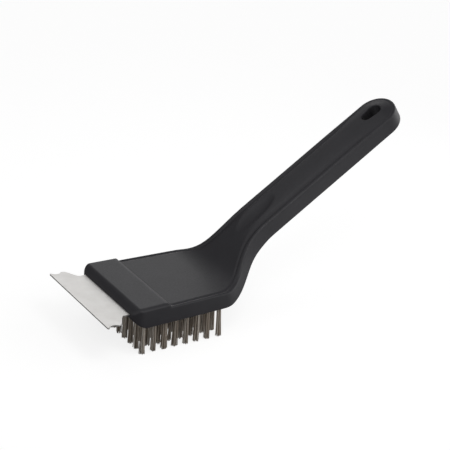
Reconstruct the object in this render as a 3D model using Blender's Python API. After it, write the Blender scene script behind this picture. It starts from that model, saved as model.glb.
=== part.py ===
"""Grill cleaning brush: a one-piece moulded handle and head, a steel scraper
blade held in a slot across the nose of the head, and a block of wire tufts.

The body is drawn as a flat plate in (s, y, n) and laid along a bent centre
line: s runs from the origin backwards along the top face (negative towards
the nose), y is across, and n is the height above the top face.  The centre
line is straight along the head, climbs through the neck and then runs
straight up the handle.

Frame: +X towards the scraper, +Y to the left side, +Z up.  The origin is at
mid width on the flat part of the head's top face.  Sizes are in millimetres
and become metres when vertices are made.
"""

import math
from bisect import bisect_right

import bmesh
import bpy
from mathutils import Matrix, Vector

MM = 0.001
GAP = 0.3                # clearance around tufts, tang and pegs
SHARP_ANGLE = math.radians(35)

# Head ---------------------------------------------------------------------
X_STEP = 15.6            # foot of the ramp behind the raised band across the nose
STEP_RAMP = 3.2          # length of that ramp, which rolls over and then drops
RAMP_POWER = 2.2         # higher: the ramp stays level for longer
RAMP_PLACES = (0.0, 0.45, 0.72, 0.90)   # sections, as shares of the ramp's length
X_TOP_FRONT = 34.2       # where the band's top starts to round down
X_NOSE = 38.5            # foremost line of the nose
Z_NOSE = -2.3            # its height, the same as the scraper's
NOSE_FLAT = 0.9          # half height of the nose's upright face
NOSE_TOP_POWER = 1.4     # 1 is a straight bevel, 2 a quarter ellipse
NOSE_LOW_ROUND = 0.55    # share of quarter ellipse under the nose; the rest is bevel
X_BOTTOM_FRONT = 30.9    # front edge of the underside
HEAD_HALF = 31.2         # half width at the step
HEAD_TAPER = 0.036       # half width gained per millimetre forwards
HEAD_THICK = 9.6
BAND_RISE = 2.2
CORNER_R = 6.0           # plan radius of the two front corners
CORNER_STEPS = 8

# Neck and handle ----------------------------------------------------------
X_BEND = -17.6           # the top face starts to climb here
BEND_PULL = 21.4         # how far the level tangent is carried on
X_HANDLE = -55.9         # the straight handle starts here
Z_HANDLE = 29.5          # and at this height
HANDLE_PULL = 28.7       # how far the handle's tangent is carried forwards
HANDLE_RISE = 0.652      # slope of the handle
BEND_STEPS = 240
LINE_FRONT = 60.0        # x where the centre line begins, ahead of the nose
LINE_BACK = 200.0        # straight length of the centre line behind X_HANDLE
HANDLE_HALF = 13.1
HANDLE_THICK = 10.1
NECK_THICK = 7.2         # the plate is thinnest in the neck
S_NECK_IN, S_NECK, S_NECK_OUT = 22.0, 35.0, 60.0   # thinning starts, thinnest, over
HANDLE_CROWN = 1.7       # the handle's top is crowned by this much
S_CROWN_IN, S_CROWN = 45.0, 75.0   # the crown starts, and is full
CROWN_POINTS = ((0.0, 1.0), (0.40, 0.80), (0.72, 0.18))   # shares of half width, crown
X_END = -132.9           # x of the centre of the round handle end
END_STEPS = 10
S_NARROW = 20.7          # the head starts to narrow this far along s
NARROW_PULL = 8.4
S_HANDLE = 66.2          # and has the handle's width from here
WIDTH_PULL = 30.2
NARROW_SPANS = 13        # equal spans between sections from S_NARROW to S_HANDLE

EDGE_TOP = 1.6           # edge radii
EDGE_BAND = 2.6          # plan width of the band's softer side edges
EDGE_BOTTOM = 0.7
EDGE_SHARE = 0.45        # no edge radius exceeds this share of the thickness

# Thumb dish and hang hole -------------------------------------------------
DISH_X = -52.9           # centre of the dish, on the centre line
DISH_LONG, DISH_WIDE = 17.0, 6.0   # half sizes at the full crown's level
DISH_DEEP = 2.05         # depth below that level
DISH_BALL = 6.0          # half height of the flattened ball that cuts the dish
HANG_BIG_R, HANG_SMALL_R = 4.1, 3.3
HANG_BIG_X, HANG_SMALL_X = -133.6, -129.0
HANG_BIG_STEPS, HANG_SMALL_STEPS = 14, 8
HANG_BELOW, HANG_ABOVE = 3.0, 4.0  # cutter past the underside, and above the top face

# Scraper ------------------------------------------------------------------
BLADE_THICK = 0.8
BLADE_Z = Z_NOSE         # mid plane
BLADE_X_EDGE = 56.4      # scraping edge
BLADE_TANG_X = 23.5      # rear end of the tang, inside the slot
TANG_HALF = 25.7
TANG_BEVEL = 1.5         # bevel of the tang's rear corners
SHOULDER_HALF = 34.2     # half width over the two shoulders
NOTCH_HALF = 32.8        # between the shoulder and the tip
TIP_HALF = 34.9
TIP_BEVEL = 0.8
SLOT_OVERRUN = 5.0       # slot cutter, ahead of the nose
PEG_R, PEG_X, PEG_Y = 2.4, 28.2, (-16.0, 0.0, 16.0)
PEG_REACH = 4.0          # half height of the pegs cut out of the slot cutter
TANG_HOLE_REACH = 2.0    # half height of the cutters for the holes in the tang

# Tufts --------------------------------------------------------------------
COLUMNS, ROWS = 8, 9     # column 1 is foremost, row 1 is leftmost
TUFT_X0, TUFT_DX = 29.9, 6.88
TUFT_DY = 6.5
TUFT_LONG = 18.3         # free length under the head
TUFT_R, TIP_R = 1.3, 1.75
TUFT_FLARE = 1.5         # a tuft starts to widen this far under the head
TUFT_SIDES = 8
HOLE_DEEP = 4.0
HOLE_TOP = -HEAD_THICK + HOLE_DEEP
HOLE_OVERRUN = 2.0       # hole cutters, below the head
PAIRS = ((3, 4), (6, 7))  # rows whose two tufts are the two legs of one bundle
# Half width, then lower and upper faces measured down from the top of the holes.
CHANNEL = (0.95, 1.9, 0.1)
FOLD = (0.6, 1.5, 0.5)


# Curves -------------------------------------------------------------------
def mix(start, end, t):
    return start + t * (end - start)


def smooth(t):
    t = min(max(t, 0.0), 1.0)
    return t * t * (3.0 - 2.0 * t)


def bezier(p0, p1, p2, p3, t):
    u = 1.0 - t
    return tuple(u**3 * a + 3 * t * u * u * b + 3 * t * t * u * c + t**3 * d
                 for a, b, c, d in zip(p0, p1, p2, p3))


def search(is_short, low, high):
    """The value between low and high where is_short turns false."""
    for _ in range(60):
        middle = 0.5 * (low + high)
        if is_short(middle):
            low = middle
        else:
            high = middle
    return 0.5 * (low + high)


# Centre line --------------------------------------------------------------
RISE_COS = 1.0 / math.hypot(1.0, HANDLE_RISE)
RISE_SIN = HANDLE_RISE * RISE_COS
BEND_CURVE = (           # (x, z)
    (X_BEND, 0.0),
    (X_BEND - BEND_PULL, 0.0),
    (X_HANDLE + HANDLE_PULL * RISE_COS, Z_HANDLE - HANDLE_PULL * RISE_SIN),
    (X_HANDLE, Z_HANDLE),
)


def centre_line():
    """(s, x, z) along the top face, from ahead of the nose to behind the handle."""
    line = [(-LINE_FRONT, LINE_FRONT, 0.0)]
    s = -X_BEND
    last = BEND_CURVE[0]
    for i in range(BEND_STEPS + 1):
        here = bezier(*BEND_CURVE, i / BEND_STEPS)
        s += math.dist(here, last)
        line.append((s, *here))
        last = here
    line.append((s + LINE_BACK, X_HANDLE - LINE_BACK * RISE_COS, Z_HANDLE + LINE_BACK * RISE_SIN))
    return line


def line_tangents(line):
    """Unit (x, z) direction of growing s at each point of the line."""
    bend = []
    for before, after in zip(line[1:-3], line[3:-1]):
        length = math.dist(before[1:], after[1:])
        bend.append(((after[1] - before[1]) / length, (after[2] - before[2]) / length))
    return [(-1.0, 0.0)] * 2 + bend + [(-RISE_COS, RISE_SIN)] * 2


LINE = centre_line()
LINE_S = [point[0] for point in LINE]
TANGENTS = line_tangents(LINE)


def top_face_at(s):
    """Point (x, z) of the top face at s, and the unit normal there."""
    i = min(max(bisect_right(LINE_S, s) - 1, 0), len(LINE) - 2)
    s0, x0, z0 = LINE[i]
    s1, x1, z1 = LINE[i + 1]
    t = (s - s0) / (s1 - s0)
    along_x, along_z = (mix(a, b, t) for a, b in zip(TANGENTS[i], TANGENTS[i + 1]))
    length = math.hypot(along_x, along_z)
    return (mix(x0, x1, t), mix(z0, z1, t)), (along_z / length, -along_x / length)


def lay(s, y, n):
    """A point of the flat plate, laid on the centre line."""
    (x, z), (normal_x, normal_z) = top_face_at(s)
    return Vector((x + n * normal_x, y, z + n * normal_z))


def s_at_x(x):
    if x >= X_BEND:
        return -x
    return search(lambda s: top_face_at(s)[0][0] > x, -X_BEND, LINE_S[-1])


S_END = s_at_x(X_END)


# Plate --------------------------------------------------------------------
def head_half_width(s):
    return HEAD_HALF - HEAD_TAPER * (s + X_STEP)


WIDTH_CURVE = (          # (s, half width) from the head to the handle
    (S_NARROW, head_half_width(S_NARROW)),
    (S_NARROW + NARROW_PULL, head_half_width(S_NARROW + NARROW_PULL)),
    (S_HANDLE - WIDTH_PULL, HANDLE_HALF),
    (S_HANDLE, HANDLE_HALF),
)


def plate_half_width(s):
    """Half width of the plate, leaving out the front corners and the round end."""
    if s <= S_NARROW:
        return head_half_width(s)
    if s >= S_HANDLE:
        return HANDLE_HALF
    t = search(lambda t: bezier(*WIDTH_CURVE, t)[0] < s, 0.0, 1.0)
    return bezier(*WIDTH_CURVE, t)[1]


def thickness(s):
    if s < S_NECK:
        return mix(HEAD_THICK, NECK_THICK, smooth((s - S_NECK_IN) / (S_NECK - S_NECK_IN)))
    return mix(NECK_THICK, HANDLE_THICK, smooth((s - S_NECK) / (S_NECK_OUT - S_NECK)))


def crown(s):
    return HANDLE_CROWN * smooth((s - S_CROWN_IN) / (S_CROWN - S_CROWN_IN))


def half_section(half_width, top, bottom, arch=0.0, edge=EDGE_TOP):
    """(y, n) from the middle of the top, over the left edge, to the middle of the underside.

    arch is the height of the crown and edge the plan width of the top edge.
    """
    top_r = min(EDGE_TOP, EDGE_SHARE * (top - bottom))
    low_r = min(EDGE_BOTTOM, EDGE_SHARE * (top - bottom))
    points = [(across * half_width, top + arch * up) for across, up in CROWN_POINTS]
    for i in range(4):
        angle = math.radians(30 * i)
        points.append((half_width - edge + edge * math.sin(angle),
                       top - top_r + top_r * math.cos(angle)))
    for i in range(3):
        angle = math.radians(45 * i)
        points.append((half_width - low_r + low_r * math.cos(angle),
                       bottom + low_r - low_r * math.sin(angle)))
    points.append((0.0, bottom))
    return points


def nose_sections():
    """(s, half section) from the foremost line back over the rounded corners."""
    flat_top, flat_bottom = Z_NOSE + NOSE_FLAT, Z_NOSE - NOSE_FLAT
    sections = []
    for i in range(CORNER_STEPS + 1):
        angle = math.radians(90.0 * i / CORNER_STEPS)
        back = CORNER_R * (1.0 - math.cos(angle))
        s = back - X_NOSE
        left = 1.0 - min(back / (X_NOSE - X_TOP_FRONT), 1.0)
        rise = (1.0 - left**NOSE_TOP_POWER) ** (1.0 / NOSE_TOP_POWER)
        bevel = min(back / (X_NOSE - X_BOTTOM_FRONT), 1.0)
        drop = mix(bevel, math.sqrt(1.0 - (1.0 - bevel) ** 2), NOSE_LOW_ROUND)
        sections.append((s, half_section(
            plate_half_width(s) - CORNER_R * (1.0 - math.sin(angle)),
            mix(flat_top, BAND_RISE, rise), mix(flat_bottom, -HEAD_THICK, drop),
            edge=EDGE_BAND)))
    return sections


def ramp_sections():
    """(s, half section) down the ramp behind the band, without its foot."""
    sections = []
    for t in RAMP_PLACES:
        s = -X_STEP - STEP_RAMP * (1.0 - t)
        top = BAND_RISE * math.sqrt(1.0 - t**RAMP_POWER)
        sections.append((s, half_section(plate_half_width(s), top, -HEAD_THICK,
                                         edge=mix(EDGE_BAND, EDGE_TOP, t))))
    return sections


def plate_sections():
    """(s, half section) from the ramp's foot to the start of the round end."""
    span = (S_HANDLE - S_NARROW) / NARROW_SPANS
    places = [-X_STEP, 0.0, 17.0]
    places += [S_NARROW + span * i for i in range(NARROW_SPANS + 1)]
    places += [S_CROWN, 0.5 * (S_CROWN + S_END), S_END]
    return [(s, half_section(plate_half_width(s), 0.0, -thickness(s), crown(s)))
            for s in places]


# Mesh helpers -------------------------------------------------------------
def join_rings(bm, rings):
    """Quads between each two neighbouring closed rings."""
    for a, b in zip(rings, rings[1:]):
        for i in range(len(a)):
            j = (i + 1) % len(a)
            bm.faces.new((a[i], a[j], b[j], b[i]))


def closed_skin(bm, rings):
    """A solid through the rings, capped at both ends."""
    join_rings(bm, rings)
    caps = [bm.faces.new(list(reversed(rings[0]))), bm.faces.new(rings[-1])]
    linked = {face for ring in rings for vert in ring for face in vert.link_faces}
    bmesh.ops.recalc_face_normals(bm, faces=list(linked.union(caps)))


def prism(bm, outline, z0, z1, place=lambda x, y, z: Vector((x, y, z))):
    """A closed prism over a list of (x, y) points; place maps each point into space."""
    closed_skin(bm, [[bm.verts.new(place(x, y, z) * MM) for x, y in outline]
                     for z in (z0, z1)])


def arc(x, radius, start, sweep, steps):
    """Points of an arc centred on y = 0, both ends included."""
    angles = [start + sweep * i / steps for i in range(steps + 1)]
    return [(x + radius * math.cos(a), radius * math.sin(a)) for a in angles]


def circle(x, y, radius, count, phase=0.0):
    """Points of a full circle; phase turns it by a share of one side."""
    angles = [2 * math.pi * (i + phase) / count for i in range(count)]
    return [(x + radius * math.cos(a), y + radius * math.sin(a)) for a in angles]


def rectangle(x0, x1, y0, y1):
    return [(x0, y0), (x1, y0), (x1, y1), (x0, y1)]


def add_object(name, bm, mat=None):
    mesh = bpy.data.meshes.new(name)
    bm.to_mesh(mesh)
    bm.free()
    obj = bpy.data.objects.new(name, mesh)
    bpy.context.scene.collection.objects.link(obj)
    if mat:
        mesh.materials.append(mat)
    return obj


def add_helper(name, bm):
    """An object that only serves booleans."""
    obj = add_object(name, bm)
    obj.hide_render = True
    obj.display_type = "WIRE"
    return obj


def boolean(obj, other, operation="DIFFERENCE"):
    mod = obj.modifiers.new(other.name, "BOOLEAN")
    mod.operation = operation
    mod.solver = "EXACT"
    mod.object = other


def material(name, colour, roughness, metallic):
    mat = bpy.data.materials.new(name)
    mat.use_nodes = True
    shader = mat.node_tree.nodes["Principled BSDF"]
    shader.inputs["Base Color"].default_value = (*colour, 1.0)
    shader.inputs["Roughness"].default_value = roughness
    shader.inputs["Metallic"].default_value = metallic
    return mat


# Body ---------------------------------------------------------------------
def round_end(bm, half, last_ring):
    """Close the handle: its last half section turned about the upright line at S_END."""
    size = len(half)
    top, bottom = last_ring[0], last_ring[size - 1]
    rims = [last_ring[:size]]
    for k in range(1, END_STEPS):
        angle = math.pi * k / END_STEPS
        side = [bm.verts.new(lay(S_END + y * math.sin(angle), y * math.cos(angle), n) * MM)
                for y, n in half[1:-1]]
        rims.append([top, *side, bottom])
    rims.append([top, *reversed(last_ring[size:]), bottom])
    for a, b in zip(rims, rims[1:]):
        for i in range(size - 1):
            # The rims share their two end points, so those faces are triangles.
            corners = dict.fromkeys((a[i], a[i + 1], b[i + 1], b[i]))
            bm.faces.new(list(corners))


def add_body(mat):
    sections = nose_sections() + ramp_sections() + plate_sections()
    bm = bmesh.new()
    rings = []
    for s, half in sections:
        loop = half + [(-y, n) for y, n in half[-2:0:-1]]
        rings.append([bm.verts.new(lay(s, y, n) * MM) for y, n in loop])
    join_rings(bm, rings)
    bm.faces.new(list(reversed(rings[0])))
    round_end(bm, sections[-1][1], rings[-1])
    bmesh.ops.recalc_face_normals(bm, faces=bm.faces)
    return add_object("handle_body", bm, mat)


def cut_tuft_holes(body):
    """Blind holes for the tufts, and channels that join a pair's two holes inside."""
    bm = bmesh.new()
    for column in range(1, COLUMNS + 1):
        for row in range(1, ROWS + 1):
            outline = circle(tuft_x(column), tuft_y(row), TUFT_R + GAP, TUFT_SIDES, phase=0.5)
            prism(bm, outline, -HEAD_THICK - HOLE_OVERRUN, HOLE_TOP)
    boolean(body, add_helper("tuft_hole_cutter", bm))
    bm = bmesh.new()
    for column in range(1, COLUMNS + 1):
        for pair in PAIRS:
            pair_bar(bm, column, pair, *CHANNEL)
    boolean(body, add_helper("pair_channel_cutter", bm))


def peg_prisms(radius, reach):
    bm = bmesh.new()
    for y in PEG_Y:
        prism(bm, circle(PEG_X, y, radius, 12), BLADE_Z - reach, BLADE_Z + reach)
    return bm


def cut_slot(body):
    """Slot for the scraper's tang, with pegs left standing through it."""
    half_width = TANG_HALF + GAP
    half_height = 0.5 * BLADE_THICK + GAP
    bm = bmesh.new()
    prism(bm, rectangle(BLADE_TANG_X - GAP, X_NOSE + SLOT_OVERRUN, -half_width, half_width),
          BLADE_Z - half_height, BLADE_Z + half_height)
    slot = add_helper("slot_cutter", bm)
    boolean(slot, add_helper("peg_shape", peg_prisms(PEG_R, PEG_REACH)))
    boolean(body, slot)


def cut_hang_hole(body):
    """Hole square to the handle's top: two round lobes and the lines that touch both."""
    s_big, s_small = s_at_x(HANG_BIG_X), s_at_x(HANG_SMALL_X)
    touch = math.pi - math.acos((HANG_BIG_R - HANG_SMALL_R) / (s_big - s_small))
    outline = arc(s_big, HANG_BIG_R, -touch, 2.0 * touch, HANG_BIG_STEPS)
    outline += arc(s_small, HANG_SMALL_R, touch, 2.0 * (math.pi - touch), HANG_SMALL_STEPS)
    bm = bmesh.new()
    prism(bm, outline, -HANDLE_THICK - HANG_BELOW, HANG_ABOVE, lay)
    boolean(body, add_helper("hang_hole_cutter", bm))


def cut_dish(body):
    """Thumb dish: the lower part of a flattened ball sunk in the handle's top."""
    above = DISH_BALL - DISH_DEEP   # ball's centre above the full crown's level
    grow = 1.0 / math.sqrt(1.0 - (above / DISH_BALL) ** 2)
    along = Vector((-RISE_COS, 0.0, RISE_SIN))
    normal = Vector((RISE_SIN, 0.0, RISE_COS))
    turn = Matrix((along, normal.cross(along), normal)).transposed().to_4x4()
    stretch = Matrix.Diagonal((DISH_LONG * grow, DISH_WIDE * grow, DISH_BALL, 1.0))
    centre = lay(s_at_x(DISH_X), 0.0, 0.0) + normal * (HANDLE_CROWN + above)
    bm = bmesh.new()
    bmesh.ops.create_uvsphere(bm, u_segments=20, v_segments=12, radius=1.0)
    bmesh.ops.transform(
        bm, verts=bm.verts,
        matrix=Matrix.Scale(MM, 4) @ Matrix.Translation(centre) @ turn @ stretch)
    boolean(body, add_helper("dish_cutter", bm))


# Scraper ------------------------------------------------------------------
def blade_half_outline():
    """(x, y) of the left half, from the tang's rear to the scraping edge."""
    curves = (   # x from, x to, half width from, half width to, steps, easing
        (X_NOSE + 3.4, X_NOSE + 10.2, TANG_HALF, SHOULDER_HALF, 8, smooth),
        (X_NOSE + 10.9, X_NOSE + 13.0, SHOULDER_HALF, NOTCH_HALF, 4, smooth),
        (X_NOSE + 14.2, BLADE_X_EDGE - TIP_BEVEL, NOTCH_HALF, TIP_HALF, 4, lambda t: t * t),
    )
    points = [(BLADE_TANG_X, TANG_HALF - TANG_BEVEL), (BLADE_TANG_X + TANG_BEVEL, TANG_HALF)]
    points.append(curves[0][0::2][:2])
    for x0, x1, y0, y1, steps, ease in curves:
        # A curve's own start is left out.
        for i in range(1, steps + 1):
            points.append((mix(x0, x1, i / steps), mix(y0, y1, ease(i / steps))))
    points.append((BLADE_X_EDGE, TIP_HALF - TIP_BEVEL))
    return points


def add_blade(mat):
    half = blade_half_outline()
    bm = bmesh.new()
    prism(bm, half + [(x, -y) for x, y in reversed(half)],
          BLADE_Z - 0.5 * BLADE_THICK, BLADE_Z + 0.5 * BLADE_THICK)
    blade = add_object("scraper_blade", bm, mat)
    boolean(blade, add_helper("tang_hole_cutter", peg_prisms(PEG_R + GAP, TANG_HOLE_REACH)))


# Tufts --------------------------------------------------------------------
def tuft_x(column):
    return TUFT_X0 - (column - 1) * TUFT_DX


def tuft_y(row):
    return (0.5 * (ROWS + 1) - row) * TUFT_DY


def tuft_shape(column, row):
    """A closed bundle: straight inside its hole, then widening to the tips."""
    levels = (   # z, radius
        (HOLE_TOP - GAP, TUFT_R),
        (-HEAD_THICK - TUFT_FLARE, TUFT_R),
        (-HEAD_THICK - TUFT_LONG, TIP_R),
    )
    bm = bmesh.new()
    closed_skin(bm, [[bm.verts.new(Vector((x, y, z)) * MM) for x, y in
                      circle(tuft_x(column), tuft_y(row), radius, TUFT_SIDES, phase=0.5)]
                     for z, radius in levels])
    return bm


def pair_bar(bm, column, pair, half_width, lower, upper):
    """A bar between the centres of a pair's two holes, near their top."""
    x = tuft_x(column)
    prism(bm, rectangle(x - half_width, x + half_width, tuft_y(pair[1]), tuft_y(pair[0])),
          HOLE_TOP - lower, HOLE_TOP - upper)


def add_pair(column, pair, mat):
    """One bundle: two legs and the fold that joins them inside the head."""
    name = f"tuft_c{column}_r{pair[0]}_r{pair[1]}"
    legs = add_object(name, tuft_shape(column, pair[0]), mat)
    other_leg = add_helper(name + "_leg", tuft_shape(column, pair[1]))
    bm = bmesh.new()
    pair_bar(bm, column, pair, *FOLD)
    boolean(legs, add_helper(name + "_fold", bm), "UNION")
    boolean(legs, other_leg, "UNION")


def add_tufts(mat):
    paired = {row for pair in PAIRS for row in pair}
    for column in range(1, COLUMNS + 1):
        for row in range(1, ROWS + 1):
            if row not in paired:
                add_object(f"tuft_c{column}_r{row}", tuft_shape(column, row), mat)
        for pair in PAIRS:
            add_pair(column, pair, mat)


def main():
    for obj in list(bpy.data.objects):
        bpy.data.objects.remove(obj, do_unlink=True)

    plastic = material("handle_plastic", colour=(0.028, 0.028, 0.031), roughness=0.48, metallic=0.0)
    steel = material("scraper_steel", colour=(0.66, 0.65, 0.63), roughness=0.36, metallic=1.0)
    wire = material("bristle_wire", colour=(0.42, 0.38, 0.34), roughness=0.42, metallic=1.0)

    body = add_body(plastic)
    for cut in (cut_tuft_holes, cut_slot, cut_hang_hole, cut_dish):
        cut(body)
    add_blade(steel)
    add_tufts(wire)

    for obj in bpy.data.objects:
        if not obj.hide_render:
            obj.data.shade_smooth()
            obj.data.set_sharp_from_angle(angle=SHARP_ANGLE)


main()
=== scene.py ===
"""Grill cleaning brush: bent plastic body, steel scraper blade and tufts of steel wire.

The nose points along +X and y is across. The head's top face lies at z = 0 with the tufts
hanging below it, and the handle rises towards -X. Lengths are millimetres until a mesh is made.

The body is drawn as a flat plate in (run, y, lift) and laid on a bent centre line: run goes
backwards along the top face and is -x up to the bend, lift is the height over that face.
"""

import math
import random
from bisect import bisect

import bmesh
import bpy
from mathutils import Matrix, Vector


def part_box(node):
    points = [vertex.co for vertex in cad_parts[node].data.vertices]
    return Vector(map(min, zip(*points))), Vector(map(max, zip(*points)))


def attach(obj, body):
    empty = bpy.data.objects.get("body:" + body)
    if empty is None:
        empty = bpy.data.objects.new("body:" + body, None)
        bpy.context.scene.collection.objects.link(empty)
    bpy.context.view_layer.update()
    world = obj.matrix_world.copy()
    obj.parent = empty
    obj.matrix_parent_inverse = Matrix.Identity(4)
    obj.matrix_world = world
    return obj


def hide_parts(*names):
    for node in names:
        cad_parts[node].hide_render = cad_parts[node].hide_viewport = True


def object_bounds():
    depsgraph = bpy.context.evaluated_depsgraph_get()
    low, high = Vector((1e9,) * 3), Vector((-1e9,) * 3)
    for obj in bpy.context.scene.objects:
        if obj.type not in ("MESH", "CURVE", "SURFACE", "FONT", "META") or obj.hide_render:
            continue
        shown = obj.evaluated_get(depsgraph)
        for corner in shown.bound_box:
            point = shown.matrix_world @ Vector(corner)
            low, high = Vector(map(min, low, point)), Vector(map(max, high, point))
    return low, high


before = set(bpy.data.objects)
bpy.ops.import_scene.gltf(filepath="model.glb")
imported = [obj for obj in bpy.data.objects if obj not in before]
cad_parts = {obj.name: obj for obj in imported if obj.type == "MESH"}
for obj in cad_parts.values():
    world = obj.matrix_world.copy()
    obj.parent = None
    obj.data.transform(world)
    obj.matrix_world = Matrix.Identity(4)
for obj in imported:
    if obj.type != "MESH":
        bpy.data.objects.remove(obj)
CAD_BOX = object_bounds()
MM = 0.001

# Head and nose.
X_NOSE = 38.5
Z_NOSE = -2.3
NOSE_FLAT = 0.9          # half height of the nose's front face
NOSE_ROUND = 1.4         # 2 is a quarter ellipse, 1 a straight chamfer
X_TOP_FRONT = 34.2       # the nose's curves end here above and below
X_BOTTOM_FRONT = 30.9
X_STEP = 15.6            # rear foot of the raised front band
STEP_RAMP = 3.2
BAND_RISE = 2.2
HEAD_HALF = 31.2         # half width at the step
HEAD_TAPER = 0.036
HEAD_THICK = 9.6
CORNER_R = 6.0

# Bend and handle; each pull is the length of a curve's end tangent.
X_BEND = -17.6
BEND_PULL = 21.4
X_HANDLE = -55.9
Z_HANDLE = 29.5
HANDLE_PULL = 28.7
HANDLE_RISE = 0.652      # slope
HANDLE_HALF = 13.1
HANDLE_THICK = 10.1
NECK_THICK = 7.2
RUN_NECK_IN = 22.0
RUN_NECK = 35.0
RUN_NECK_OUT = 60.0
HANDLE_CROWN = 1.7
CROWN_START = 45.0
CROWN_RAMP = 30.0
END_X = -132.87          # centre of the round end
RUN_NARROW = 20.7        # the plan narrows from here to RUN_HANDLE
NARROW_PULL = 8.4
RUN_HANDLE = 66.2
WIDTH_PULL = 30.2

# Edge roundings, dish and hanging hole.
EDGE_TOP = 1.6
EDGE_BAND = 2.6
EDGE_BOTTOM = 0.7
RIM_ZONE = 8.6           # finely divided strip inside the edge
RIM_RISE = 0.05          # the rim's crest stands this far over the plate
DISH_X = -52.9
DISH_LONG = 14.0
DISH_WIDE = 5.2
DISH_RIM = 0.70
DISH_DEEP = 0.95
HANG_BIG_R = 4.1
HANG_SMALL_R = 3.3
HANG_BIG_X = -133.6
HANG_SMALL_X = -129.0
HANG_LIP = 0.5

# Blade and its pegs.
TANG_HALF = 25.7
TANG_CORNER = 1.5
SHOULDER_HALF = 34.2
NOTCH_HALF = 32.8
TIP_HALF = 34.9
TIP_CORNER = 0.8
BLADE_CHAMFER = 0.10
PEG_R = 2.4
PEG_X = 28.2
PEG_Y = (-16.0, 0.0, 16.0)

# Tufts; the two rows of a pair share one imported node.
COLUMNS = 8
ROWS = 9
PAIRS = ((3, 4), (6, 7))
PAIR_OF = {row: pair for pair in PAIRS for row in pair}
HOLE_R = 1.56
HOLE_DEEP = 4.0
HOLE_TOP = -HEAD_THICK + HOLE_DEEP
CHANNEL_HALF = 1.1
WIRES = 26
WIRE_R = 0.21
BUNDLE_R = 1.42
SPREAD_R = 1.90          # the bundle's radius at the tips


# ------------------------------------------------------------------ plate laws
def bezier(points, t):
    u = 1.0 - t
    return tuple(u**3 * first + 3 * t * u * u * second + 3 * t * t * u * third + t**3 * last
                 for first, second, third, last in zip(*points))


def smooth(t):
    t = min(max(t, 0.0), 1.0)
    return t * t * (3.0 - 2.0 * t)


def unit(x, y):
    length = math.hypot(x, y)
    return x / length, y / length


def search(is_before, low, high, steps):
    """Where is_before turns false between low and high, by halving."""
    for _ in range(steps):
        middle = 0.5 * (low + high)
        if is_before(middle):
            low = middle
        else:
            high = middle
    return 0.5 * (low + high)


RISE_COS = 1.0 / math.hypot(1.0, HANDLE_RISE)
RISE_SIN = HANDLE_RISE * RISE_COS


def centre_line():
    """(run, x, z) along the top face: straight, curved, straight."""
    curve = ((X_BEND, 0.0), (X_BEND - BEND_PULL, 0.0),
             (X_HANDLE + HANDLE_PULL * RISE_COS, Z_HANDLE - HANDLE_PULL * RISE_SIN),
             (X_HANDLE, Z_HANDLE))
    front, far, steps = 60.0, 200.0, 240
    line = [(-front, front, 0.0)]
    run, last = -X_BEND, curve[0]
    for i in range(steps + 1):
        here = bezier(curve, i / steps)
        run += math.dist(here, last)
        line.append((run, *here))
        last = here
    line.append((run + far, X_HANDLE - far * RISE_COS, Z_HANDLE + far * RISE_SIN))
    return line


LINE = centre_line()


def tangent(i):
    """Unit (x, z) direction at point i of the line."""
    if i <= 1:
        return -1.0, 0.0
    if i >= len(LINE) - 2:
        return -RISE_COS, RISE_SIN
    (_, x0, z0), (_, x1, z1) = LINE[i - 1], LINE[i + 1]
    return unit(x1 - x0, z1 - z0)


def at(run):
    """Point (x, z) of the top face at run, and the unit normal there."""
    i = min(max(bisect(LINE, run, key=lambda place: place[0]) - 1, 0), len(LINE) - 2)
    (run0, x0, z0), (run1, x1, z1) = LINE[i], LINE[i + 1]
    t = (run - run0) / (run1 - run0)
    (dx0, dz0), (dx1, dz1) = tangent(i), tangent(i + 1)
    dx, dz = unit(dx0 + t * (dx1 - dx0), dz0 + t * (dz1 - dz0))
    return (x0 + t * (x1 - x0), z0 + t * (z1 - z0)), (dz, -dx)


def lay(run, y, lift):
    (x, z), (normal_x, normal_z) = at(run)
    return x + lift * normal_x, y, z + lift * normal_z


def run_at_x(x):
    if x >= X_BEND:
        return -x
    return search(lambda run: at(run)[0][0] > x, -X_BEND, LINE[-1][0], 60)


RUN_END = run_at_x(END_X)
RUN_DISH = run_at_x(DISH_X)

# (run, half width) control points of the narrowing.
NARROW_HALF = HEAD_HALF - HEAD_TAPER * (RUN_NARROW + X_STEP)
WIDTH_CURVE = ((RUN_NARROW, NARROW_HALF),
               (RUN_NARROW + NARROW_PULL, NARROW_HALF - HEAD_TAPER * NARROW_PULL),
               (RUN_HANDLE - WIDTH_PULL, HANDLE_HALF), (RUN_HANDLE, HANDLE_HALF))

# Smoothly joined values, each entry (run, value).
THICKNESS = ((RUN_NECK_IN, HEAD_THICK), (RUN_NECK, NECK_THICK), (RUN_NECK_OUT, HANDLE_THICK))
# Plan width of the rim's outer rounding, behind the step.
RIM_EDGE = ((-10.0, 0.9), (16.0, 1.1), (30.0, 3.0), (44.0, 2.4), (62.0, 1.5), (95.0, 1.6),
            (RUN_END - 14.0, 1.5), (RUN_END, 1.3))
# The groove inside the rim.
RIM_START = -X_STEP - 0.6
GROOVE_DEPTH = ((RIM_START, 0.0), (-X_STEP + 2.4, 0.46), (14.0, 0.46), (24.0, 0.30),
                (34.0, 0.45), (50.0, 0.62), (RUN_END - 26.0, 0.62), (RUN_END - 10.0, 0.24),
                (RUN_END, 0.12))
GROOVE_WIDTH = ((16.0, 3.0), (30.0, 2.4), (42.0, 3.0), (70.0, 5.6), (RUN_END - 26.0, 5.6),
                (RUN_END - 10.0, 3.0), (RUN_END, 2.2))


def along(run, table):
    for (run0, value0), (run1, value1) in zip(table, table[1:]):
        if run < run1:
            return value0 + (value1 - value0) * smooth((run - run0) / (run1 - run0))
    return table[-1][1]


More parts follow.
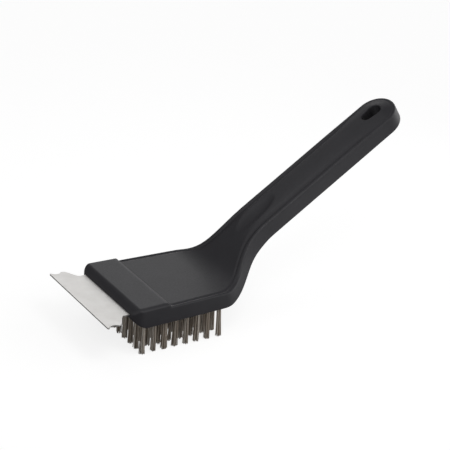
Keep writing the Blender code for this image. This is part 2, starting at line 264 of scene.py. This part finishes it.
def half_width(run):
    if run <= RUN_NARROW:
        return HEAD_HALF - HEAD_TAPER * (run + X_STEP)
    if run >= RUN_HANDLE:
        return HANDLE_HALF
    t = search(lambda t: bezier(WIDTH_CURVE, t)[0] < run, 0.0, 1.0, 50)
    return bezier(WIDTH_CURVE, t)[1]


def crown_shape(part):
    """1 on the middle line, falling to 0 at 0.86 of the half width."""
    part = min(abs(part) / 0.86, 1.0)
    return 0.5 + 0.5 * math.cos(math.pi * part**1.7)


def smooth_min(first, second, blend):
    near = max(blend - abs(first - second), 0.0) / blend
    return min(first, second) - near * near * blend * 0.25


def top_at(run, y, half, top, edge):
    """Height of the top face at (run, y), inside the edge rounding."""
    crown = HANDLE_CROWN * smooth((run - CROWN_START) / CROWN_RAMP)
    lift = top + crown * crown_shape(abs(y) / half)
    if run > RIM_START:
        t = max((half - abs(y) - edge) / along(run, GROOVE_WIDTH), 0.0)
        rise = RIM_RISE * smooth((run - RIM_START) / 3.0)
        rise -= 0.25 * smooth((run - RUN_END + 30.0) / 30.0)
        if t < 1.0:
            lift -= along(run, GROOVE_DEPTH) * math.sin(math.pi * t**0.72) ** 2
        lift += rise * (1.0 - smooth(t * 1.4))
    reach = math.hypot((run - RUN_DISH) / DISH_LONG, y / DISH_WIDE)
    if reach < 1.4:
        lift = smooth_min(lift, DISH_RIM - DISH_DEEP * (1.0 - reach**2.6), 0.24)
    return lift


# ------------------------------------------------------------------ body shell
MIDDLE_STEPS = 14
RIM_STEPS = 24
EDGE_POINTS = 9
SIDE_STEPS = 5
LOW_EDGE_POINTS = 5
FLAT_STEPS = 8
NOSE_STEPS = 30
BAND_STEPS = 14
RAMP_STEPS = 32
HANDLE_STEPS = 200
TURN_STEPS = 56


def half_section(run, half, top, bottom, band):
    """(y, lift) from the middle of the top over the left edge to the middle of the underside."""
    top_r = min(EDGE_TOP, 0.45 * (top - bottom))
    low_r = min(EDGE_BOTTOM, 0.45 * (top - bottom))
    if band >= 1.0:
        edge = EDGE_BAND
    else:
        rim = along(run, RIM_EDGE)
        edge = rim + band * (EDGE_BAND - rim)
        top_r = min(0.9 + 0.5 * smooth((run - 16.0) / 14.0) + band * 0.7, top_r)
    zone = min(RIM_ZONE, 0.66 * half)
    across = [(half - zone) * i / MIDDLE_STEPS for i in range(MIDDLE_STEPS)]
    across += [half - zone + (zone - edge) * i / RIM_STEPS for i in range(RIM_STEPS)]
    out = [(y, top_at(run, y, half, top, edge)) for y in across]
    crest = top_at(run, half - edge, half, top, edge)
    for i in range(EDGE_POINTS):
        angle = 0.5 * math.pi * i / (EDGE_POINTS - 1)
        out.append((half - edge + edge * math.sin(angle), crest - top_r + top_r * math.cos(angle)))
    high, low = crest - top_r, bottom + low_r
    for i in range(1, SIDE_STEPS):
        out.append((half, high + (low - high) * i / SIDE_STEPS))
    for i in range(LOW_EDGE_POINTS):
        angle = 0.5 * math.pi * i / (LOW_EDGE_POINTS - 1)
        out.append((half - low_r + low_r * math.cos(angle),
                    bottom + low_r - low_r * math.sin(angle)))
    for i in range(1, FLAT_STEPS + 1):
        out.append(((half - low_r) * (1.0 - i / FLAT_STEPS), bottom))
    return out


def nose_bottom(back):
    """Height of the underside at a distance back from the nose."""
    part = min(back / (X_NOSE - X_BOTTOM_FRONT), 1.0)
    drop = 0.55 * math.sqrt(1.0 - (1.0 - part) ** 2) + 0.45 * part
    return Z_NOSE - NOSE_FLAT - (Z_NOSE - NOSE_FLAT + HEAD_THICK) * drop


def stations():
    """(run, half width, top, bottom, band) from the nose to the start of the round end."""
    out = []
    nose_top = Z_NOSE + NOSE_FLAT
    for i in range(NOSE_STEPS + 1):
        back = CORNER_R * (1.0 - math.cos(math.radians(90.0 * i / NOSE_STEPS)))
        run = -(X_NOSE - back)
        part = min(back / (X_NOSE - X_TOP_FRONT), 1.0)
        bulge = (1.0 - (1.0 - part) ** NOSE_ROUND) ** (1.0 / NOSE_ROUND)
        top = nose_top + (BAND_RISE - Z_NOSE - NOSE_FLAT) * bulge
        half = half_width(run) - CORNER_R + math.sqrt(CORNER_R**2 - (CORNER_R - back) ** 2)
        out.append((run, half, top, nose_bottom(back), 1.0))
    band_start = -(X_NOSE - CORNER_R)
    ramp_start = -X_STEP - STEP_RAMP - 0.1
    ramp_end = -X_STEP + 0.6
    for i in range(1, BAND_STEPS + 1):
        run = band_start + (ramp_start - band_start) * i / BAND_STEPS
        out.append((run, half_width(run), BAND_RISE, nose_bottom(X_NOSE + run), 1.0))
    for i in range(1, RAMP_STEPS + 1):
        run = ramp_start + (ramp_end - ramp_start) * i / RAMP_STEPS
        t = min(max((run + X_STEP + STEP_RAMP) / STEP_RAMP, 0.0), 1.0)
        top = BAND_RISE * math.sqrt(1.0 - t**2.2)
        out.append((run, half_width(run), top, -HEAD_THICK, 1.0 - smooth(t)))
    for i in range(1, HANDLE_STEPS + 1):
        run = ramp_end + (RUN_END - ramp_end) * i / HANDLE_STEPS
        out.append((run, half_width(run), 0.0, -along(run, THICKNESS), 0.0))
    return out


def body_shell():
    verts, faces, rings = [], [], []
    for run, *shape in stations():
        half = half_section(run, *shape)
        loop = half + [(-y, lift) for y, lift in half[-2:0:-1]]
        start = len(verts)
        verts += [lay(run, y, lift) for y, lift in loop]
        rings.append(range(start, start + len(loop)))
    skin(faces, rings)
    faces.append(tuple(reversed(rings[0])))
    # The last half section turns about its middle line to close the round end.
    size, last = len(half), rings[-1]
    rims = [list(last[:size])]
    for k in range(1, TURN_STEPS):
        angle = math.pi * k / TURN_STEPS
        rim = [last[0]]
        for y, lift in half[1:-1]:
            rim.append(len(verts))
            verts.append(lay(RUN_END + y * math.sin(angle), y * math.cos(angle), lift))
        rims.append(rim + [last[size - 1]])
    rims.append([last[0]] + [last[-i] for i in range(1, size - 1)] + [last[size - 1]])
    for first, second in zip(rims, rims[1:]):
        for i in range(size - 1):
            corners = (first[i], first[i + 1], second[i + 1], second[i])
            faces.append(tuple(dict.fromkeys(corners)))  # triangles at the middle line
    return verts, faces


# --------------------------------------------------------------------- helpers
def skin(faces, rings):
    """Side faces between neighbouring closed rings of vertex numbers."""
    for first, second in zip(rings, rings[1:]):
        for i in range(len(first)):
            j = (i + 1) % len(first)
            faces.append((first[i], first[j], second[j], second[i]))


def skin_capped(faces, rings):
    skin(faces, rings)
    faces.append(tuple(reversed(rings[0])))
    faces.append(tuple(rings[-1]))


def equal_rings(total, size):
    return [range(start, start + size) for start in range(0, total, size)]


def add(name, data):
    obj = bpy.data.objects.new(name, data)
    bpy.context.scene.collection.objects.link(obj)
    return obj


def add_mesh(name, verts, faces):
    """An object from points in millimetres."""
    mesh = bpy.data.meshes.new(name)
    mesh.from_pydata([(x * MM, y * MM, z * MM) for x, y, z in verts], [], faces)
    bm = bmesh.new()
    bm.from_mesh(mesh)
    bmesh.ops.recalc_face_normals(bm, faces=bm.faces)
    bm.to_mesh(mesh)
    bm.free()
    return add(name, mesh)


def shade(obj, angle):
    obj.data.shade_smooth()
    obj.data.set_sharp_from_angle(angle=math.radians(angle))


def cut(obj, cutters, angle):
    """Applies the cuts, frees the cutters and sets the shading."""
    for other in cutters:
        mod = obj.modifiers.new(other.name, "BOOLEAN")
        mod.operation = "DIFFERENCE"
        mod.solver = "EXACT"
        mod.object = other
    bpy.context.view_layer.update()
    graph = bpy.context.evaluated_depsgraph_get()
    made = bpy.data.meshes.new_from_object(obj.evaluated_get(graph))
    obj.modifiers.clear()
    obj.data = made
    for other in cutters:
        bpy.data.objects.remove(other, do_unlink=True)
    bm = bmesh.new()
    bm.from_mesh(made)
    bmesh.ops.remove_doubles(bm, verts=bm.verts, dist=2e-7)
    bmesh.ops.dissolve_degenerate(bm, edges=bm.edges, dist=2e-7)
    bm.to_mesh(made)
    bm.free()
    shade(obj, angle)
    made.materials.clear()


def prisms(name, outlines, low, high):
    """One object of upright prisms, all between two heights."""
    verts, faces = [], []
    for outline in outlines:
        start, count = len(verts), len(outline)
        verts += [(x, y, z) for z in (low, high) for x, y in outline]
        bottom = range(start, start + count)
        top = range(start + count, start + 2 * count)
        faces += [tuple(reversed(bottom)), tuple(top)]
        skin(faces, [bottom, top])
    return add_mesh(name, verts, faces)


def rectangle(x0, x1, y0, y1):
    return [(x0, y0), (x1, y0), (x1, y1), (x0, y1)]


def circle(x, y, radius, count):
    angles = [2 * math.pi * i / count for i in range(count)]
    return [(x + radius * math.cos(angle), y + radius * math.sin(angle)) for angle in angles]


def peg_prisms(name, radius, low, high):
    return prisms(name, [circle(PEG_X, y, radius, 32) for y in PEG_Y], low, high)


def mm_box(node):
    low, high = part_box(node)
    return low / MM, high / MM


def hand_over(obj, finish, node):
    obj.data.materials.append(finish)
    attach(obj, "root")
    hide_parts(node)


# ------------------------------------------------------------------- materials
PER_MM = (1000.0,) * 3   # makes a noise scale of 1 mean once per millimetre


class Nodes:
    """A short way to write the node tree of a material or world."""

    def __init__(self, owner):
        owner.use_nodes = True
        self.owner = owner
        self.tree = owner.node_tree

    def add(self, kind, inputs=None, **settings):
        node = self.tree.nodes.new("ShaderNode" + kind)
        for key, value in settings.items():
            setattr(node, key, value)
        self.fill(node, inputs or {})
        return node

    def fill(self, node, inputs):
        """Links sockets and sets plain values."""
        for key, value in inputs.items():
            if isinstance(value, bpy.types.NodeSocket):
                self.tree.links.new(value, node.inputs[key])
            else:
                node.inputs[key].default_value = value

    def maths(self, operation, *values):
        return self.add("Math", dict(enumerate(values)), operation=operation).outputs[0]

    def noise(self, scale, detail=3.0, rough=0.55, stretch=PER_MM):
        where = self.add("TexCoord").outputs["Object"]
        turn = self.add("Mapping", {"Vector": where, "Scale": stretch}).outputs["Vector"]
        return self.add("TexNoise", {"Vector": turn, "Scale": scale, "Detail": detail,
                                     "Roughness": rough}).outputs["Fac"]

    def span(self, value, low, high, in_low=0.3, in_high=0.7):
        return self.add("MapRange", {"Value": value, "From Min": in_low, "From Max": in_high,
                                     "To Min": low, "To Max": high}).outputs["Result"]

    def ramp(self, value, stops):
        node = self.add("ValToRGB", {"Fac": value})
        points = node.color_ramp.elements
        while len(points) < len(stops):
            points.new(0.5)
        for point, (where, colour) in zip(points, stops):
            point.position = where
            point.color = (*colour, 1.0)
        return node.outputs["Color"]

    def bump(self, height, distance, strength, below=None):
        inputs = {"Height": height, "Distance": distance, "Strength": strength}
        if below is not None:
            inputs["Normal"] = below
        return self.add("Bump", inputs).outputs["Normal"]


def surface(name, build):
    """A material whose main shader takes the inputs that build returns."""
    nodes = Nodes(bpy.data.materials.new(name))
    nodes.fill(nodes.tree.nodes["Principled BSDF"], build(nodes))
    return nodes.owner


def plastic(nodes):
    """Black moulded plastic: a fine etched grain, a slow waviness and slightly uneven gloss, with
    painted shade darkening the holes and narrow corners.
    """
    colour = nodes.ramp(nodes.noise(scale=0.06, detail=4.0),
                        [(0.30, (0.0205, 0.0198, 0.0235)), (0.70, (0.0255, 0.0246, 0.0290))])
    # Painted shade: the colour is darkened and the shine taken away inside the holes and narrow
    # corners, by an ambient occlusion mask.
    openness = nodes.add("AmbientOcclusion", {"Distance": 0.011}, samples=8).outputs["AO"]
    painted_shade = nodes.span(openness, low=0.10, high=1.0, in_low=0.20, in_high=0.60)
    painted_shade_colour = nodes.add("VectorMath", {0: colour, 1: painted_shade}, operation="MULTIPLY")
    gloss = nodes.noise(scale=0.9, detail=5.0, rough=0.6)
    # Painted shade in the gloss as well: the shine fades to none where the occlusion mask closes
    # in.
    painted_shade_shine = nodes.span(openness, low=0.0, high=0.42, in_low=0.20, in_high=0.60)
    wave = nodes.bump(nodes.noise(scale=0.10, detail=2.0), distance=0.00012, strength=0.5)
    grain = nodes.bump(nodes.noise(scale=3.2, detail=4.0, rough=0.6),
                       distance=0.00002, strength=0.8, below=wave)
    return {"Base Color": painted_shade_colour.outputs[0], "Roughness": nodes.span(gloss, low=0.43, high=0.53),
            "Specular IOR Level": painted_shade_shine, "Normal": grain}


def blade_steel(nodes):
    """Stainless sheet, finely brushed across the blade, with faint stains."""
    streak = nodes.noise(scale=1.0, detail=5.0, rough=0.6, stretch=(6000.0, 90.0, 400.0))
    cloud = nodes.noise(scale=0.09, detail=4.0, rough=0.6)
    streak_share = 0.35
    tone = nodes.maths("ADD", cloud, nodes.maths("MULTIPLY", streak, streak_share))
    colour = nodes.ramp(tone, [(0.45, (0.70, 0.685, 0.665)), (0.90, (0.80, 0.79, 0.775))])
    fine = nodes.bump(streak, distance=0.000006, strength=0.7)
    return {"Base Color": colour, "Metallic": 1.0,
            "Roughness": nodes.span(streak, low=0.36, high=0.46),
            "Normal": nodes.bump(cloud, distance=0.00006, strength=0.35, below=fine)}


def wire_steel(nodes):
    """Drawn steel wire: every wire has its own tone, with drawing marks."""
    own = nodes.add("NewGeometry").outputs["Random Per Island"]
    colour = nodes.ramp(own, [(0.0, (0.24, 0.19, 0.15)), (0.35, (0.45, 0.385, 0.32)),
                              (0.7, (0.64, 0.575, 0.50)), (1.0, (0.84, 0.80, 0.74))])
    marks = nodes.noise(scale=1.0, detail=4.0, rough=0.6, stretch=(4000.0, 4000.0, 350.0))
    tone = nodes.span(marks, low=0.80, high=1.15)
    grey = nodes.add("CombineColor", {"Red": tone, "Green": tone, "Blue": tone})
    # 6 and 7 are the mix node's colour inputs, output 2 its colour.
    tint = nodes.add("Mix", {"Factor": 1.0, 6: colour, 7: grey.outputs["Color"]},
                     data_type="RGBA", blend_type="MULTIPLY")
    return {"Base Color": tint.outputs[2], "Metallic": 0.65,
            "Roughness": nodes.span(marks, low=0.34, high=0.52),
            "Normal": nodes.bump(marks, distance=0.00001, strength=0.6)}


# ------------------------------------------------------------------------ body
def hang_top(run, y):
    """Height of the top face round the hanging hole."""
    if run > RUN_END:
        run, y = RUN_END, math.hypot(run - RUN_END, y)
    return top_at(run, y, HANDLE_HALF, 0.0, along(run, RIM_EDGE))


def hang_cutter():
    """The hole's outline swept down, with its upper and lower lips rounded over."""
    big, small = run_at_x(HANG_BIG_X), run_at_x(HANG_SMALL_X)
    touch = math.pi - math.acos((HANG_BIG_R - HANG_SMALL_R) / (big - small))
    # (centre, radius, angle) of each point.
    outline = [(big, HANG_BIG_R, -touch + 2.0 * touch * i / 48) for i in range(49)]
    outline += [(small, HANG_SMALL_R, touch + 2.0 * (math.pi - touch) * i / 32)
                for i in range(33)]
    # (growth of the outline, depth under the face).
    profile = [(HANG_LIP + 0.35, -4.0), (HANG_LIP + 0.02, -0.02)]
    for i in range(7):
        angle = 0.5 * math.pi * i / 6
        profile.append((HANG_LIP * (1.0 - math.sin(angle)), HANG_LIP * (1.0 - math.cos(angle))))
    verts, faces = [], []
    for is_top, rows in ((True, profile), (False, profile[::-1])):
        for grow, deep in rows:
            for centre, radius, angle in outline:
                run = centre + (radius + grow) * math.cos(angle)
                y = (radius + grow) * math.sin(angle)
                lift = hang_top(run, y) - deep if is_top else -HANDLE_THICK + deep
                verts.append(lay(run, y, lift))
    skin_capped(faces, equal_rings(len(verts), len(outline)))
    return add_mesh("cut_hang", verts, faces)


def tuft_node(column, row):
    rows = PAIR_OF.get(row, (row,))
    return f"tuft_c{column}" + "".join(f"_r{number}" for number in rows)


def tuft_centre(column, row):
    """(x, y) of a tuft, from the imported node's box."""
    low, high = mm_box(tuft_node(column, row))
    x = 0.5 * (low.x + high.x)
    if row not in PAIR_OF:
        return x, 0.5 * (low.y + high.y)
    radius = 0.5 * (high.x - low.x)
    return x, (high.y - radius if row == PAIR_OF[row][0] else low.y + radius)


def tuft_cutters():
    """The holes, and the channels that join the holes of a pair."""
    holes, channels = [], []
    for column in range(1, COLUMNS + 1):
        for row in range(1, ROWS + 1):
            holes.append(circle(*tuft_centre(column, row), HOLE_R, 24))
        for first, second in PAIRS:
            x, y1 = tuft_centre(column, first)
            _, y0 = tuft_centre(column, second)
            channels.append(rectangle(x - CHANNEL_HALF, x + CHANNEL_HALF, y0, y1))
    return [prisms("cut_holes", holes, -HEAD_THICK - 2.0, HOLE_TOP),
            prisms("cut_channels", channels, HOLE_TOP - 2.1, HOLE_TOP - 0.1)]


def slot_cutter():
    """The tang's slot, leaving the pegs standing."""
    low, high = mm_box("scraper_blade")
    gap, side_gap = 0.06, 0.15
    half = TANG_HALF + side_gap
    slot = prisms("cut_slot", [rectangle(low.x - gap, X_NOSE + 5.0, -half, half)],
                  low.z - gap, high.z + gap)
    cut(slot, [peg_prisms("cut_pegs", PEG_R, low.z - 3.0, high.z + 3.0)], 35.0)
    return slot


def build_body(finish):
    body = add_mesh("handle", *body_shell())
    cut(body, tuft_cutters() + [slot_cutter(), hang_cutter()], 32.0)
    hand_over(body, finish, "handle_body")


# ----------------------------------------------------------------------- blade
def blade_outline(x_tang, x_edge):
    """Left half, from the rear of the tang to the scraping edge: (x, y)."""
    out = []
    for i in range(7):
        angle = math.radians(15.0 * i)
        out.append((x_tang + TANG_CORNER - TANG_CORNER * math.cos(angle),
                    TANG_HALF - TANG_CORNER + TANG_CORNER * math.sin(angle)))
    tang_end = X_NOSE + 3.4
    out.append((tang_end, TANG_HALF))
    tip = x_edge - TIP_CORNER
    # x from and to, half width from and to, steps.
    for x0, x1, y0, y1, steps in (
            (tang_end, X_NOSE + 10.2, TANG_HALF, SHOULDER_HALF, 28),
            (X_NOSE + 10.9, X_NOSE + 13.0, SHOULDER_HALF, NOTCH_HALF, 12),
            (X_NOSE + 14.2, tip, NOTCH_HALF, TIP_HALF, 12)):
        if x0 > out[-1][0] + 1e-6:
            out.append((x0, y0))
        for i in range(1, steps + 1):
            t = i / steps
            ease = t * t if x1 == tip else smooth(t)
            out.append((x0 + (x1 - x0) * t, y0 + (y1 - y0) * ease))
    for i in range(1, 4):
        angle = math.radians(30.0 * i)
        out.append((tip + TIP_CORNER * math.sin(angle),
                    TIP_HALF - TIP_CORNER + TIP_CORNER * math.cos(angle)))
    return out


def inset(outline, by):
    """A closed outline moved inwards, along the mean of each point's two side normals."""
    out = []
    for i, (x, y) in enumerate(outline):
        x0, y0 = outline[i - 1]
        x1, y1 = outline[(i + 1) % len(outline)]
        in_x, in_y = unit(x - x0, y - y0)
        out_x, out_y = unit(x1 - x, y1 - y)
        side_x, side_y = unit(in_y + out_y, -in_x - out_x)
        stretch = 1.0 / max(side_x * in_y - side_y * in_x, 0.5)
        out.append((x - side_x * by * stretch, y - side_y * by * stretch))
    return out


def build_blade(finish):
    low, high = mm_box("scraper_blade")
    half = blade_outline(low.x, high.x)
    outline = [(x, -y) for x, y in half] + half[::-1]
    verts, faces = [], []
    bevel, small = BLADE_CHAMFER, BLADE_CHAMFER * 0.3
    for by, z in ((bevel, low.z), (small, low.z + small), (0.0, low.z + bevel),
                  (0.0, high.z - bevel), (small, high.z - small), (bevel, high.z)):
        verts += [(x, y, z) for x, y in inset(outline, by)]
    skin_capped(faces, equal_rings(len(verts), len(outline)))
    blade = add_mesh("scraper", verts, faces)
    cut(blade, [peg_prisms("cut_tang", PEG_R + 0.1, low.z - 2.0, high.z + 2.0)], 14.0)
    hand_over(blade, finish, "scraper_blade")


# ----------------------------------------------------------------------- tufts
def tube_into(verts, faces, points, radius, sides=7):
    """A closed round wire along the points, with both ends cut and slightly broken."""
    across = Vector((1.0, 0.0, 0.0))
    rings = []
    last = len(points) - 1
    for k, point in enumerate(points):
        ahead = (points[min(k + 1, last)] - points[max(k - 1, 0)]).normalized()
        across = (across - ahead * across.dot(ahead)).normalized()
        side = ahead.cross(across)
        hoops = [(point, radius)]
        if k == 0:
            hoops.insert(0, (point - ahead * 0.07, radius * 0.62))
        if k == last:
            hoops.append((point + ahead * 0.07, radius * 0.62))
        for centre, size in hoops:
            rings.append(range(len(verts), len(verts) + sides))
            for i in range(sides):
                angle = 2.0 * math.pi * i / sides
                place = centre + (across * math.cos(angle) + side * math.sin(angle)) * size
                verts.append(tuple(place))
    skin_capped(faces, rings)


def wire_points(rng, x, y, low, slot, lean):
    """One wire's points from the top of its hole down to its tip."""
    lean_x, lean_y, short, turn = lean
    radius = (BUNDLE_R - WIRE_R) * math.sqrt((slot + 0.5) / WIRES)
    angle = slot * 2.399963 + turn  # golden angle
    root_x, root_y = radius * math.cos(angle), radius * math.sin(angle)
    spread = (SPREAD_R - WIRE_R) / (BUNDLE_R - WIRE_R) * rng.uniform(0.86, 1.08)
    tip_x = root_x * spread + lean_x + rng.gauss(0.0, 0.10)
    tip_y = root_y * spread + lean_y + rng.gauss(0.0, 0.10)
    bow_x, bow_y = rng.gauss(0.0, 0.10), rng.gauss(0.0, 0.10)
    end = low + 0.08 + short + abs(rng.gauss(0.0, 0.15))
    end += rng.uniform(0.4, 1.2) if rng.random() < 0.12 else 0.0
    start = -HEAD_THICK + 0.2
    out = [Vector((x + root_x, y + root_y, HOLE_TOP - 0.35))]
    for k in range(9):
        t = k / 8
        ease = t**1.25
        bow = 4.0 * t * (1.0 - t)
        out.append(Vector((x + root_x + (tip_x - root_x) * ease + bow_x * bow,
                           y + root_y + (tip_y - root_y) * ease + bow_y * bow,
                           start + (end - start) * t)))
    return out


# (column, row): lean of the tips in x and y, and how much they fall short.
LEAN = {
    (1, 1): (0.0, 0.0, 0.0), (2, 1): (0.0, 0.0, 0.2), (3, 1): (0.1, 0.1, 0.0),
    (4, 1): (0.2, 0.0, 0.1), (5, 1): (0.2, 0.1, 0.0), (6, 1): (0.3, 0.2, 0.0),
    (7, 1): (0.0, 0.2, 0.0), (8, 1): (-0.6, 0.2, 0.0), (1, 2): (0.0, 0.0, 0.0),
    (1, 3): (0.0, 0.0, 0.1), (1, 4): (0.1, 0.0, 0.1), (1, 5): (0.0, 0.0, 0.0),
    (1, 6): (0.0, 0.0, 0.1),
}


def lean_of(column, row, rng):
    """(lean x, lean y, shortfall, turn), random where LEAN has no entry."""
    lean = LEAN.get((column, row))
    if lean is None:
        lean = (rng.gauss(0.0, 0.22), rng.gauss(0.0, 0.22), abs(rng.gauss(0.0, 0.15)))
    return (*lean, rng.uniform(0.0, 6.28))


def build_tuft(column, rows, finish):
    node = tuft_node(column, rows[0])
    low = mm_box(node)[0].z
    rng = random.Random(1000 * column + rows[0])
    leans = [lean_of(column, row, rng) for row in rows]
    leans[1:] = [(*lean[:3], 0.0) for lean in leans[1:]]  # a pair's second bundle has no turn
    verts, faces = [], []
    for k in range(WIRES):
        for row, lean in zip(rows, leans):
            points = wire_points(rng, *tuft_centre(column, row), low, k, lean)
            tube_into(verts, faces, points, WIRE_R)
    tuft = add_mesh("wires" + node[4:], verts, faces)
    shade(tuft, 50.0)
    hand_over(tuft, finish, node)


def build_tufts(finish):
    for column in range(1, COLUMNS + 1):
        for row in range(1, ROWS + 1):
            rows = PAIR_OF.get(row, (row,))
            if row == rows[0]:
                build_tuft(column, rows, finish)


# ----------------------------------------------------------------------- stage
WHITE = (1.0, 1.0, 1.0, 1.0)
# Soft studio light: azimuth from +X towards +Y and elevation in degrees, tightness, strength.
LOBES = (
    (0.0, 90.0, 6.0, 0.013), (0.0, 90.0, 22.0, 0.177), (-39.0, 62.0, 14.0, 0.485),
    (67.0, 47.0, 12.0, 0.465), (67.0, 47.0, 40.0, 0.423), (50.0, 40.0, 40.0, 0.045),
    (-123.0, 28.0, 22.0, 0.903), (-140.0, 30.0, 22.0, 0.034), (-123.0, 8.0, 25.0, 1.200),
    (-60.0, 8.0, 20.0, 0.231), (-150.0, 8.0, 25.0, 0.203), (190.0, 5.0, 25.0, 0.338),
    (180.0, 18.0, 10.0, 0.606), (155.0, 18.0, 12.0, 1.235), (130.0, 18.0, 12.0, 0.727),
    (100.0, 18.0, 10.0, 0.806), (60.0, 18.0, 10.0, 0.177), (0.0, 18.0, 8.0, 1.045),
)
AMBIENT = 0.0
# Glow of the floor as the object sees it: centre in millimetres, width, strength.
FLOOR_PATCHES = (
    ((-95.0, 17.0), 40.0, 0.143),
    ((-183.0, 153.0), 90.0, 0.920),
    ((-1000.0, -190.0), 400.0, 0.559),
)
FLOOR_HALF = 3000
FLOOR_GLOW = 0.091
FLOOR_MATTE = 0.10
FLOOR_SHINE = 0.80       # glow and grey that the camera sees
FLOOR_SHADE = 0.35
# Soft discs close by: azimuth and elevation, aimed-at point in millimetres,
# distance and width in metres, watts.
DISCS = (
    ((-77.0, 39.0), (-95.0, 0.0, 55.0), 0.3, 0.2, 0.033),
    ((45.0, 38.0), (-125.0, 5.0, 75.0), 0.25, 0.12, 0.141),
    ((-39.0, 62.0), (-95.0, 0.0, 55.0), 0.3, 0.2, 0.041),
    ((190.0, 2.0), (-135.0, 10.0, 80.0), 0.25, 0.15, 0.067),
)
CAMERA_AT = (417.80363916, 682.21471416, 405.18791236)
# The camera's right, up and backward directions.
CAMERA_AXES = ((-0.84791743, 0.52577718, 0.06778192),
               (-0.16965714, -0.39026704, 0.90493541),
               (0.50224744, 0.75581082, 0.42011608))


def floor_finish():
    """A pale floor: near white to the camera with a faint shadow, see-through from below.

    For light it glows in a few wide soft patches, as a studio sweep does.
    """
    nodes = Nodes(bpy.data.materials.new("stage_floor"))
    nodes.tree.nodes.clear()
    maths = nodes.maths

    def glowing(grey, strength):
        matte = nodes.add("BsdfDiffuse", {"Color": (grey, grey, grey, 1.0)})
        glow = nodes.add("Emission", {"Strength": strength})
        return nodes.add("AddShader", {0: matte.outputs[0], 1: glow.outputs[0]}).outputs[0]

    where = nodes.add("NewGeometry")
    total = FLOOR_GLOW
    for (x, y), wide, strength in FLOOR_PATCHES:
        centre = (x * MM, y * MM, CAD_BOX[0].z)
        away = nodes.add("VectorMath", {0: where.outputs["Position"], 1: centre},
                         operation="DISTANCE").outputs["Value"]
        power = maths("MULTIPLY", maths("MULTIPLY", away, away), -0.5 / (wide * MM) ** 2)
        patch = maths("MULTIPLY", maths("POWER", math.e, power), strength)
        total = maths("ADD", patch, total)
    unseen = glowing(FLOOR_MATTE, total)
    shown = glowing(FLOOR_SHADE, FLOOR_SHINE)
    is_camera = nodes.add("LightPath").outputs["Is Camera Ray"]
    pick = nodes.add("MixShader", {0: is_camera, 1: unseen, 2: shown})
    clear = nodes.add("BsdfTransparent")
    last = nodes.add("MixShader", {0: where.outputs["Backfacing"], 1: pick.outputs[0],
                                   2: clear.outputs[0]})
    nodes.add("OutputMaterial", {"Surface": last.outputs[0]})
    return nodes.owner


def direction(azimuth, elevation):
    turn, tilt = math.radians(azimuth), math.radians(elevation)
    return Vector((math.cos(turn) * math.cos(tilt), math.sin(turn) * math.cos(tilt),
                   math.sin(tilt)))


def disc_lights():
    for i, (toward, target, distance, size, watts) in enumerate(DISCS, 1):
        lamp = bpy.data.lights.new(f"soft_disc_{i}", "AREA")
        lamp.shape = "DISK"
        lamp.size = size
        lamp.energy = watts
        obj = add(f"soft_disc_{i}", lamp)
        outward = direction(*toward)
        obj.location = Vector(target) * MM + outward * distance
        obj.rotation_euler = outward.to_track_quat("Z", "Y").to_euler()
        obj.visible_camera = False


def world_light():
    """White to the camera; for light, a few wide soft sources round the object."""
    nodes = Nodes(bpy.data.worlds.new("studio"))
    bpy.context.scene.world = nodes.owner
    nodes.tree.nodes.clear()
    maths = nodes.maths
    where = nodes.add("TexCoord").outputs["Generated"]
    total = None
    for azimuth, elevation, tight, strength in LOBES:
        facing = nodes.add("VectorMath", {0: where, 1: direction(azimuth, elevation)},
                           operation="DOT_PRODUCT").outputs["Value"]
        lobe = maths("EXPONENT", maths("MULTIPLY", maths("SUBTRACT", facing, 1.0), tight))
        lobe = maths("MULTIPLY", lobe, strength)
        total = lobe if total is None else maths("ADD", total, lobe)
    total = maths("ADD", total, AMBIENT)
    lit = nodes.add("Background", {"Color": WHITE, "Strength": total})
    white = nodes.add("Background", {"Color": WHITE})
    is_camera = nodes.add("LightPath").outputs["Is Camera Ray"]
    pick = nodes.add("MixShader", {0: is_camera, 1: lit.outputs[0], 2: white.outputs[0]})
    nodes.add("OutputWorld", {"Surface": pick.outputs[0]})


def build_floor():
    low = CAD_BOX[0].z / MM
    corners = rectangle(-FLOOR_HALF, FLOOR_HALF, -FLOOR_HALF, FLOOR_HALF)
    floor = add_mesh("floor", [(x, y, low) for x, y in corners], [(0, 1, 2, 3)])
    floor.data.materials.append(floor_finish())


def build_camera():
    camera = bpy.data.cameras.new("camera")
    camera.sensor_width = 36.0
    camera.lens = 128.0
    camera.clip_start = 0.05
    camera.clip_end = 20.0
    obj = add("camera", camera)
    turn = Matrix(CAMERA_AXES).transposed().to_4x4()
    obj.matrix_world = Matrix.Translation(Vector(CAMERA_AT) * MM) @ turn
    scene = bpy.context.scene
    scene.camera = obj
    scene.view_settings.view_transform = "Standard"
    scene.view_settings.look = "None"


build_body(surface("moulded_plastic", plastic))
build_blade(surface("brushed_stainless", blade_steel))
build_tufts(surface("bristle_wire", wire_steel))
build_floor()
world_light()
disc_lights()
build_camera()
